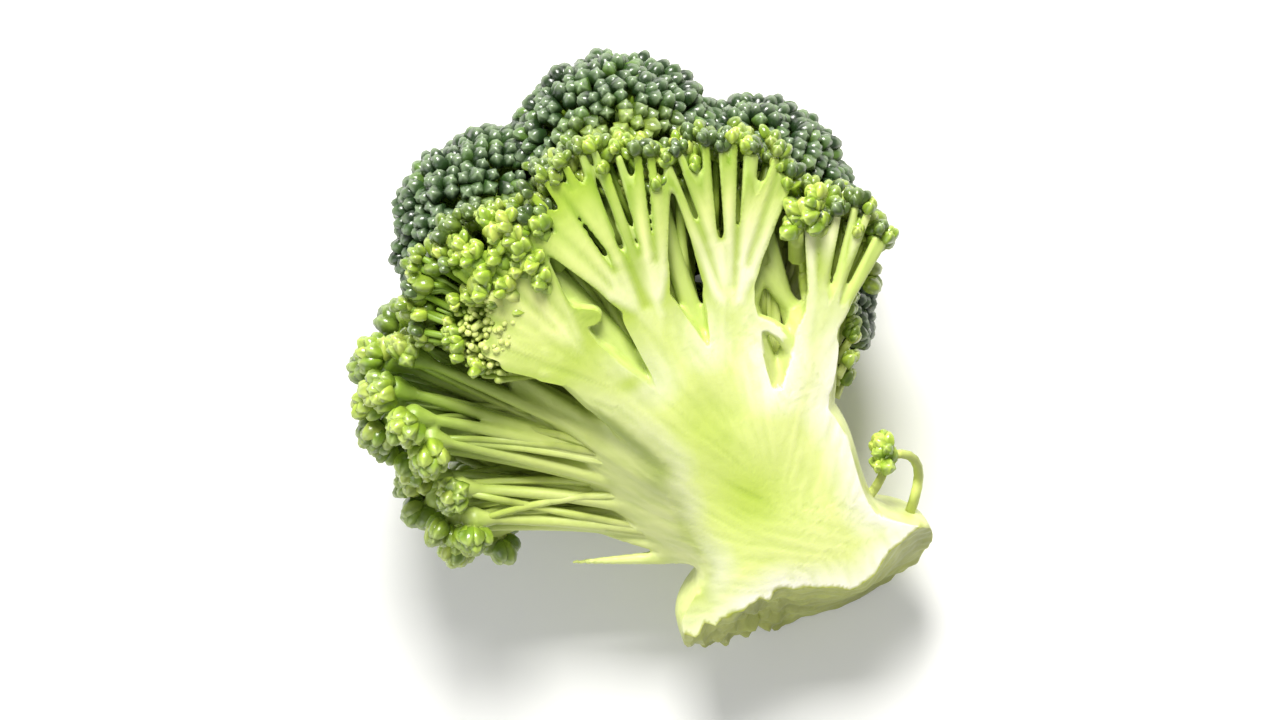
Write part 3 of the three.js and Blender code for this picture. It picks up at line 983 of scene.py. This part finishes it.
def grow_buds(name, chosen):
    bm = bmesh.new()
    pales, tones = [], []
    for bud in chosen:
        size = bud["size"] * chance.uniform(0.9, 1.1)
        lean = Vector((chance.gauss(0, 0.14), chance.gauss(0, 0.14), chance.gauss(0, 0.14)))
        turn = (bud["up"] + lean).normalized().to_track_quat("Z", "Y").to_matrix().to_4x4()
        spin = Matrix.Rotation(chance.uniform(0, math.tau), 4, "Z")
        form = chance.choice(bud_forms).copy()
        form.transform(Matrix.Translation(bud["place"]) @ turn @ spin @ Matrix.Scale(size, 4))
        bm.from_mesh(form)
        bpy.data.meshes.remove(form)
        near_cut = 1 - clamped((-bud["place"].z - 0.8) / PALE_WITHIN)
        pales.append(bud["young"] or min(near_cut, PALEST_OLD_BUD))
        tones.append(chance.random())
    made = object_from(bm, name)
    add_values(made, "pale", np.repeat(pales, BUD_CORNERS))
    add_values(made, "tone", np.repeat(tones, BUD_CORNERS))
    print(name, "has", len(chosen), "buds")
    return made


crown = grow_buds("crown_buds", [bud for bud in buds if bud["young"] == 0])
young = grow_buds("young_buds", [bud for bud in buds if bud["young"] > 0])
twig_mesh = object_from(twigs, "twigs")
print("four pieces are grown:", [made.name for made in (stalk, crown, young, twig_mesh)])

# %% [markdown]
# ## What each piece knows about itself
# Each piece carries what its material has to know as numbers on its corners. They could be painted by hand,
# but here they follow from the shape. The first are how bare the knife left the flesh, how far it has been
# sawn across, and how far up the tree it lies. On the left the bare face fades out softly.

# %% Bare, sawn and reach
SKIN_DEPTH, LOWEST_END = 0.06, 8


def places_of(made):
    flat = np.empty(len(made.data.vertices) * 3, np.float64)
    made.data.vertices.foreach_get("co", flat)
    return flat.reshape(-1, 3)


def ramp(values, low, high):
    return np.clip((values - low) / (high - low), 0, 1)


def up_the_tree(spots):
    return ramp(np.linalg.norm(spots - np.array([STALK_X, 6, STALK_Z]), axis=1), 8, 38)


def evened(made, values, rounds):
    """Each corner's value becomes the mean of its own and its neighbours'."""
    ends = np.empty(len(made.data.edges) * 2, np.int64)
    made.data.edges.foreach_get("vertices", ends)
    near, far = ends[::2], ends[1::2]
    counts = 1 + np.bincount(ends, minlength=len(values))
    for _ in range(rounds):
        sums = np.bincount(near, values[far], len(values)) + np.bincount(far, values[near], len(values))
        values = (values + sums) / counts
    return values


spots = places_of(stalk)
knife_at = np.array([knife_height(x, y) for x, y, _ in spots])
bare_spots = spots[:, 2] > knife_at - SKIN_DEPTH
left_share = np.array([on_the_left(x, y) for x, y, _ in spots])
add_values(stalk, "bare", bare_spots * (1 - left_share) + evened(stalk, bare_spots * 1.0, 10) * left_share)
past_end_cut = np.full(len(spots), -9.0)
into_end_block = facing_out.inverted()
for i in np.flatnonzero(spots[:, 1] < LOWEST_END):
    x, y, z = into_end_block @ Vector(spots[i])
    past_end_cut[i] = z - end_height(x, y)
add_values(stalk, "sawn", ramp(past_end_cut, -0.25, -0.1))
add_values(stalk, "reach", up_the_tree(spots))
print("the knife left", int(bare_spots.sum()), "of", len(spots), "corners bare")

# %% [markdown]
# The pith is the soft middle, which shows as a few greener clouds in the cut face. Its rim is found by how
# far each bare corner lies from the nearest skin.

# %% Pith and rim
PITH = [
    (0.9, -1.6, 10, 4.2, 4.6), (0.7, -3.0, 18.5, 3.2, 4.6), (0.9, -7.7, 25.1, 1.3, 0.8),
    (0.8, -8.7, 32.3, 0.8, 0.7),
]


def blob(centre_x, centre_y, half_wide, half_long):
    off = ((spots[:, 0] - centre_x) / half_wide) ** 2 + ((spots[:, 1] - centre_y) / half_long) ** 2
    return np.exp(-off)


def points_tree(places):
    found = KDTree(len(places))
    for i, place in enumerate(places):
        found.insert(place, i)
    found.balance()
    return found


def far_from(places, others):
    """How far each place lies from the nearest of the others."""
    found = points_tree(others)
    return np.array([found.find(place)[2] for place in places])


pith = sum(strength * blob(*cloud) for strength, *cloud in PITH)
add_values(stalk, "pith", np.clip(pith, 0, 1))
inward = np.zeros(len(spots))
inward[bare_spots] = far_from(spots[bare_spots], spots[~bare_spots])
add_values(stalk, "inward", ramp(inward, 0.2, 3.2))
print("the cut face reaches", round(inward.max(), 1), "mm from its rim")

# %% [markdown]
# On the left the cut rolls over, and its edge is painted a dull grey-green: painted shade where it turns from
# the light. The skin under it is painted darkest close to the edge, in the crotch, as painted shade. What
# lies shallow behind the gaps is painted paler than other skin, as painted light that comes through to it.

# %% Rolled edge, crotch and shallow skin
from_cut = np.zeros(len(spots))
from_cut[~bare_spots] = far_from(spots[~bare_spots], spots[bare_spots])
left_edge = np.exp(-((inward / 2.0) ** 2)) * left_share
roll = np.array([rolled_over(x, y) for x, y, _ in spots])
# Painted shade: the left edge, where the cut rolls over, is painted grey-green where it turns from the light.
add_values(stalk, "rolled_edge_shade", np.clip(np.maximum(1.6 * roll, 0.85 * left_edge), 0, 1))
off_the_roll = 1 - np.clip(2 * roll, 0, 1)
# Painted shade: the skin is painted darker close to the cut's edge, in the crotch.
add_values(stalk, "crotch_shade", 0.9 * np.exp(-((from_cut / 1.6) ** 2)) * left_share * off_the_roll)
# Painted light: skin that lies shallow behind the gaps is painted paler.
shallow = ramp(spots[:, 2], -4.5, -1.5) * ramp(spots[:, 1], 20, 25) * ramp(spots[:, 0], -14, -11)
add_values(stalk, "shallow", 0.6 * shallow)
print("the roll is felt by", int((roll > 0.05).sum()), "corners")

# %% [markdown]
# The grain is a noise that is drawn out along the stem. At each corner the nearest points on the stems'
# lines give the way that the grain runs, and the noise is averaged over a short path along that way.
# Corners that lie beside a line, and not on it, are between two threads.

# %% Grain and threads
STREAK_FINE, STREAK_LONG = 1.6, [0.3 * k for k in range(-8, 9)]
NEAREST_LINES = 5
stem_points = points_tree(grain_points)
streaks, beside = np.empty(len(spots)), np.empty(len(spots))
for i, spot in enumerate(spots):
    spot = Vector(spot)
    way, aside = Vector(), 9
    for nearest, k, far in stem_points.find_n(spot, NEAREST_LINES):
        way += grain_ways[k] / (far * far + 0.3)
        aside = min(aside, (spot - nearest).cross(grain_ways[k]).length)
    way.normalize()
    beside[i] = aside
    samples = [noise.noise((spot + way * along) * STREAK_FINE) for along in STREAK_LONG]
    streaks[i] = sum(samples) / len(samples)
add_values(stalk, "streak", np.clip(0.5 + 1.5 * streaks, 0, 1))
between = evened(stalk, ramp(beside, 0.18, 0.48), 1) * ramp(up_the_tree(spots), 0.3, 0.6)
add_values(stalk, "between", between)
add_values(stalk, "fused", blob(FUSED_CENTRE.x - 0.5, FUSED_CENTRE.y, *FUSED_RADII))
print("the grain of the flesh runs from", round(streaks.min(), 2), "to", round(streaks.max(), 2))

# %% [markdown]
# The twigs know how far up the tree they are, where the knife cut their ends bare, and how near the flesh
# they are, because close to it they have its colour.

# %% What the twigs know
spots = places_of(twig_mesh)
add_values(twig_mesh, "reach", up_the_tree(spots))
off_patch = [(spots[:, k] - PATCH_CENTRE[k]) / PATCH_RADII[k] for k in (0, 1)]
add_values(twig_mesh, "bare", (np.hypot(*off_patch) < 1.15) * ramp(spots[:, 2], -1.3, -0.3))
add_values(twig_mesh, "melted", 1 - ramp(far_from(spots, places_of(stalk)), 0.15, 1.4))
print("the twigs have", len(spots), "corners")

# %% [markdown]
# Every number was found in the growing frame, so only now are the pieces laid down. The table is flat, so
# what would reach through it is pressed up to it. Shading is smooth, but for the edges of the cuts.

# %% Lay every piece down
SHARP_ANGLE = math.radians(50)


def lay(made):
    made.data.polygons.foreach_set("use_smooth", [True] * len(made.data.polygons))
    made.data.transform(lay_down)
    flat = places_of(made)
    flat[:, 2] = np.maximum(flat[:, 2], TABLE_AT)
    made.data.vertices.foreach_set("co", flat.ravel())
    made.data.update()


for made in (stalk, crown, young, twig_mesh):
    lay(made)
    print(made.name, "lies from", round(places_of(made)[:, 2].min() / MM, 2), "mm above the table")
stalk.data.set_sharp_from_angle(angle=SHARP_ANGLE)

# %% [markdown]
# ## Finishes
# Three materials share one effect: a fine grain that breaks up the colour and the surface. It is a node
# group with its own values in each material. Colours are noted as they look on a screen, and turned into
# the linear values that a shader works with.

# %% Colours and the fine grain
def paint(red, green, blue):
    """A colour as seen on a screen, from 0 to 255, as the shader's linear colour."""
    shares = [c / 255 for c in (red, green, blue)]
    return tuple(s / 12.92 if s <= 0.04045 else ((s + 0.055) / 1.055) ** 2.4 for s in shares) + (1.0,)


def grey(share):
    return (share, share, share, 1)


def fine_grain_group():
    group = bpy.data.node_groups.new("fine_grain", "ShaderNodeTree")
    sockets = [("Place", "INPUT", "Vector"), ("Scale", "INPUT", "Float"), ("Depth", "INPUT", "Float"),
               ("Mask", "OUTPUT", "Float"), ("Normal", "OUTPUT", "Vector")]
    for name, way, kind in sockets:
        group.interface.new_socket(name=name, in_out=way, socket_type="NodeSocket" + kind)
    nodes, links = group.nodes, group.links
    inside, outside = nodes.new("NodeGroupInput"), nodes.new("NodeGroupOutput")
    cloud, bump = nodes.new("ShaderNodeTexNoise"), nodes.new("ShaderNodeBump")
    cloud.inputs["Detail"].default_value = 3
    bump.inputs["Distance"].default_value = 0.0002
    links.new(inside.outputs["Place"], cloud.inputs["Vector"])
    links.new(inside.outputs["Scale"], cloud.inputs["Scale"])
    links.new(inside.outputs["Depth"], bump.inputs["Strength"])
    links.new(cloud.outputs["Fac"], bump.inputs["Height"])
    links.new(cloud.outputs["Fac"], outside.inputs["Mask"])
    links.new(bump.outputs["Normal"], outside.inputs["Normal"])
    return group


fine_grain = fine_grain_group()
print("the fine grain is a group of", len(fine_grain.nodes), "nodes")

# %% [markdown]
# A finish is built from a few kinds of node over and over: a number from the mesh, a mix, a ramp of
# colours, a bump. Short calls for these keep each finish readable, and the Principled shader stays in the
# material itself.

# %% A finish and its nodes
class Finish:
    """A material with its Principled shader and short calls to add nodes."""

    def __init__(self, name, roughness, subsurface, depth_mm):
        self.material = bpy.data.materials.new(name)
        self.material.use_nodes = True
        self.nodes, self.links = self.material.node_tree.nodes, self.material.node_tree.links
        self.shader = self.nodes["Principled BSDF"]
        self.shader.inputs["Roughness"].default_value = roughness
        self.shader.inputs["Subsurface Weight"].default_value = subsurface
        self.shader.inputs["Subsurface Radius"].default_value = (1.0, 1.0, 0.4)
        self.shader.inputs["Subsurface Scale"].default_value = depth_mm * MM

    def attribute(self, name):
        node = self.nodes.new("ShaderNodeAttribute")
        node.attribute_name = name
        return node.outputs["Fac"]

    def grain(self, scale, depth):
        node = self.nodes.new("ShaderNodeGroup")
        node.node_tree = fine_grain
        place = self.nodes.new("ShaderNodeTexCoord").outputs["Object"]
        self.links.new(place, node.inputs["Place"])
        node.inputs["Scale"].default_value, node.inputs["Depth"].default_value = scale, depth
        return node.outputs["Mask"], node.outputs["Normal"]

    def mix(self, amount, first, second, kind="MIX"):
        node = self.nodes.new("ShaderNodeMix")
        node.data_type, node.blend_type = "RGBA", kind
        for value, socket in zip((amount, first, second), (node.inputs[0], node.inputs[6], node.inputs[7])):
            if isinstance(value, bpy.types.NodeSocket):
                self.links.new(value, socket)
            else:
                socket.default_value = value
        return node.outputs[2]

    def ramp(self, value, stops):
        node = self.nodes.new("ShaderNodeValToRGB")
        while len(node.color_ramp.elements) < len(stops):
            node.color_ramp.elements.new(0.5)
        for element, (position, colour) in zip(node.color_ramp.elements, stops):
            element.position, element.color = position, colour
        self.links.new(value, node.inputs["Fac"])
        return node.outputs["Color"]

    def raised(self, height, strength, distance_mm, under):
        """A bump that follows a value, on top of another."""
        node = self.nodes.new("ShaderNodeBump")
        node.inputs["Strength"].default_value = strength
        node.inputs["Distance"].default_value = distance_mm * MM
        self.links.new(height, node.inputs["Height"])
        self.links.new(under, node.inputs["Normal"])
        return node.outputs["Normal"]

    def finish(self, colour, normal):
        self.links.new(colour, self.shader.inputs["Base Color"])
        self.links.new(normal, self.shader.inputs["Normal"])
        print("the", self.material.name, "finish has", len(self.nodes), "nodes")
        return self.material


# %% [markdown]
# The flesh is palest at the rim of the stalk, yellow-green in the pith and greener towards the buds. The
# skin outside is a waxy pale green. The face across the stalk is painted a darker, dull olive.

# %% The flesh
CUT_STOPS = [
    (0, paint(252, 248, 236)), (0.55, paint(251, 249, 220)),
    (0.8, paint(234, 240, 158)), (1, paint(176, 204, 66)),
]
SKIN_STOPS = [(0, paint(216, 222, 152)), (0.5, paint(200, 212, 122)), (1, paint(134, 166, 50))]
THREAD_STOPS = [(0.5, paint(190, 208, 92)), (0.9, paint(140, 174, 46))]
SAWN_OLIVE_STOPS = [(0.35, paint(150, 156, 66)), (0.65, paint(176, 184, 76))]
flesh = Finish("flesh", 0.4, 0.2, 1.0)
reach, streak, between = (flesh.attribute(name) for name in ("reach", "streak", "between"))
_, pores = flesh.grain(2400, 0.12)
bare = flesh.mix(flesh.attribute("inward"), flesh.ramp(reach, CUT_STOPS), paint(232, 240, 156))
bare = flesh.mix(flesh.attribute("pith"), bare, paint(192, 214, 84))
bare = flesh.mix(between, bare, flesh.ramp(reach, THREAD_STOPS))
# Painted shade on the left edge, where the cut rolls over.
bare = flesh.mix(flesh.attribute("rolled_edge_shade"), bare, paint(190, 202, 116))
fused = flesh.ramp(flesh.attribute("fused"), [(0, grey(0)), (1, grey(0.55))])
bare = flesh.mix(fused, bare, paint(238, 243, 158))
# Painted light on the shallow skin, then painted shade close to the cut's edge.
skin = flesh.mix(flesh.attribute("shallow"), flesh.ramp(reach, SKIN_STOPS), paint(206, 224, 128))
skin = flesh.mix(flesh.attribute("crotch_shade"), skin, paint(136, 154, 58))
colour = flesh.mix(flesh.attribute("bare"), skin, bare)
blotch, _ = flesh.grain(260, 0)
# The face across the stalk is painted a darker, blotched olive.
colour = flesh.mix(flesh.attribute("sawn"), colour, flesh.ramp(blotch, SAWN_OLIVE_STOPS))
shaded = flesh.ramp(streak, [(0.25, (0.78, 0.84, 0.62, 1)), (0.6, grey(1))])
colour = flesh.mix(0.55, colour, shaded, "MULTIPLY")
ridges = flesh.raised(streak, 0.5, 0.15, pores)
valleys = flesh.raised(flesh.ramp(between, [(0, grey(1)), (1, grey(0))]), 0.5, 0.2, ridges)
stalk.data.materials.append(flesh.finish(colour, valleys))

# %% [markdown]
# The twigs are greener than the flesh they leave, and take on its skin's colour where they are melted into
# it. Their cut ends are pale.

# %% The twigs
TWIG_STOPS = [(0, paint(210, 218, 128)), (0.5, paint(190, 206, 88)), (1, paint(124, 156, 42))]
twig = Finish("twig", 0.45, 0.2, 0.8)
mottle, mottled = twig.grain(600, 0.2)
reach = twig.attribute("reach")
colour = twig.mix(twig.attribute("melted"), twig.ramp(reach, TWIG_STOPS), twig.ramp(reach, SKIN_STOPS))
colour = twig.mix(twig.attribute("bare"), colour, paint(216, 226, 130))
shaded = twig.ramp(mottle, [(0.3, (0.75, 0.8, 0.6, 1)), (0.65, grey(1))])
twig_mesh.data.materials.append(twig.finish(twig.mix(0.7, colour, shaded, "MULTIPLY"), mottled))

# %% [markdown]
# A bud is dark green where it is closed and old, and yellow-green where it is young. Its tip is painted
# paler, partly for a bloom of wax and partly as a painted highlight; its grooves are painted darker as
# painted shade, and a clear coat gives the small wet highlights.

# %% The buds
OLD_STOPS = [
    (0, paint(24, 42, 20)), (0.5, paint(38, 62, 30)), (0.85, paint(58, 88, 38)), (1, paint(98, 132, 50)),
]
YOUNG_STOPS = [(0, paint(136, 172, 42)), (0.6, paint(176, 206, 62)), (1, paint(214, 228, 100))]
bud_finish = Finish("bud", 0.32, 0.1, 0.5)
tone, groove_shade, height, pale = (bud_finish.attribute(name) for name in ("tone", "groove_shade", "height", "pale"))
_, freckled = bud_finish.grain(2600, 0.2)
colour = bud_finish.mix(pale, bud_finish.ramp(tone, OLD_STOPS), bud_finish.ramp(tone, YOUNG_STOPS))
# The tip is painted paler: partly a real bloom of wax, partly a painted highlight.
bloom_and_highlight = bud_finish.ramp(height, [(0.7, grey(0)), (0.98, grey(0.6))])
colour = bud_finish.mix(bloom_and_highlight, colour, bud_finish.mix(pale, paint(150, 172, 132), paint(206, 224, 112)))
# Painted shade: the grooves between the sepals are painted darker.
colour = bud_finish.mix(bud_finish.ramp(groove_shade, [(0, grey(0)), (1, grey(0.45))]), colour, paint(36, 58, 24))
bud_finish.shader.inputs["Coat Weight"].default_value = 0.5
bud_finish.shader.inputs["Coat Roughness"].default_value = 0.14
bud_finish.finish(colour, freckled)
for made in (crown, young):
    made.data.materials.append(bud_finish.material)

# %% [markdown]
# ## Hand the pieces to the frame
# The flesh and the twigs stand for the imported stalk, and the buds for the imported crown.

# %% Ride and replace
for made, node in ((stalk, "stalk"), (twig_mesh, "stalk"), (crown, "crown"), (young, "crown")):
    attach(made, "root")
    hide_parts(node)
    made.data.calc_loop_triangles()
    print(made.name, len(made.data.loop_triangles), "triangles")

# %% [markdown]
# ## Floor, camera and light
# The floor is a plain pale sheet a hair below the table's height, so that nothing flickers where they
# touch.

# %% The floor
floor_bm = bmesh.new()
bmesh.ops.create_grid(floor_bm, x_segments=1, y_segments=1, size=1.5)
bmesh.ops.translate(floor_bm, vec=(0, 0, -0.0001), verts=floor_bm.verts[:])
floor = object_from(floor_bm, "floor")
floor_finish = bpy.data.materials.new("floor")
floor_finish.use_nodes = True
floor_shader = floor_finish.node_tree.nodes["Principled BSDF"]
floor_shader.inputs["Base Color"].default_value = (0.93, 0.93, 0.92, 1)
floor_shader.inputs["Roughness"].default_value = 0.6
floor.data.materials.append(floor_finish)
print("the floor is", 2 * 1.5, "m wide")

# %% [markdown]
# The photograph looks down on the floret, which lies with its crown turned up and to the left. A long lens
# from far off keeps its true proportions. The camera is turned until the growth points the right way in the
# picture.

# %% The camera
TO_CAMERA = Vector((0.085, 0.03, 0.996)).normalized()
GROWTH_IN_PICTURE = math.radians(112)
AIM, FAR_OFF = Vector((0.0, 0.0005, 0.018)), 0.42
growth = lay_down.to_3x3() @ Vector((0, 1, 0))
growth = (growth - growth.dot(TO_CAMERA) * TO_CAMERA).normalized()
right = Matrix.Rotation(-GROWTH_IN_PICTURE, 3, TO_CAMERA) @ growth
up = TO_CAMERA.cross(right)
camera_data = bpy.data.cameras.new("camera")
camera_data.lens, camera_data.sensor_width = 132, 36
camera = bpy.data.objects.new("camera", camera_data)
bpy.context.scene.collection.objects.link(camera)
turn = Matrix((right, up, TO_CAMERA)).transposed().to_4x4()
camera.matrix_world = Matrix.Translation(AIM + TO_CAMERA * FAR_OFF) @ turn
bpy.context.scene.camera = camera
print("the camera is at", [round(c, 3) for c in camera.matrix_world.translation])

# %% [markdown]
# The light is broad and soft, from above and a little from the crown's side. A weaker light fills the shade
# from the left, and the room adds an even glow.

# %% The lights
def soft_light(name, place, size, power, tint):
    lamp = bpy.data.lights.new(name, "AREA")
    lamp.size, lamp.energy, lamp.color = size, power, tint
    holder = bpy.data.objects.new(name, lamp)
    bpy.context.scene.collection.objects.link(holder)
    turn = (place - AIM).to_track_quat("Z", "Y").to_matrix().to_4x4()
    holder.matrix_world = Matrix.Translation(place) @ turn
    print("the", name, "light is", round((place - AIM).length, 2), "m off")


soft_light("key", Vector((0.1, 0.3, 0.36)), 0.18, 3.8, (1, 0.985, 0.95))
soft_light("fill", Vector((-0.35, -0.1, 0.3)), 0.4, 0.8, (0.96, 0.98, 1))
world = bpy.data.worlds.new("room")
world.use_nodes = True
glow = world.node_tree.nodes["Background"]
glow.inputs["Color"].default_value = (1, 1, 0.97, 1)
glow.inputs["Strength"].default_value = 0.36
bpy.context.scene.world = world
bpy.context.scene.view_settings.view_transform = "Standard"
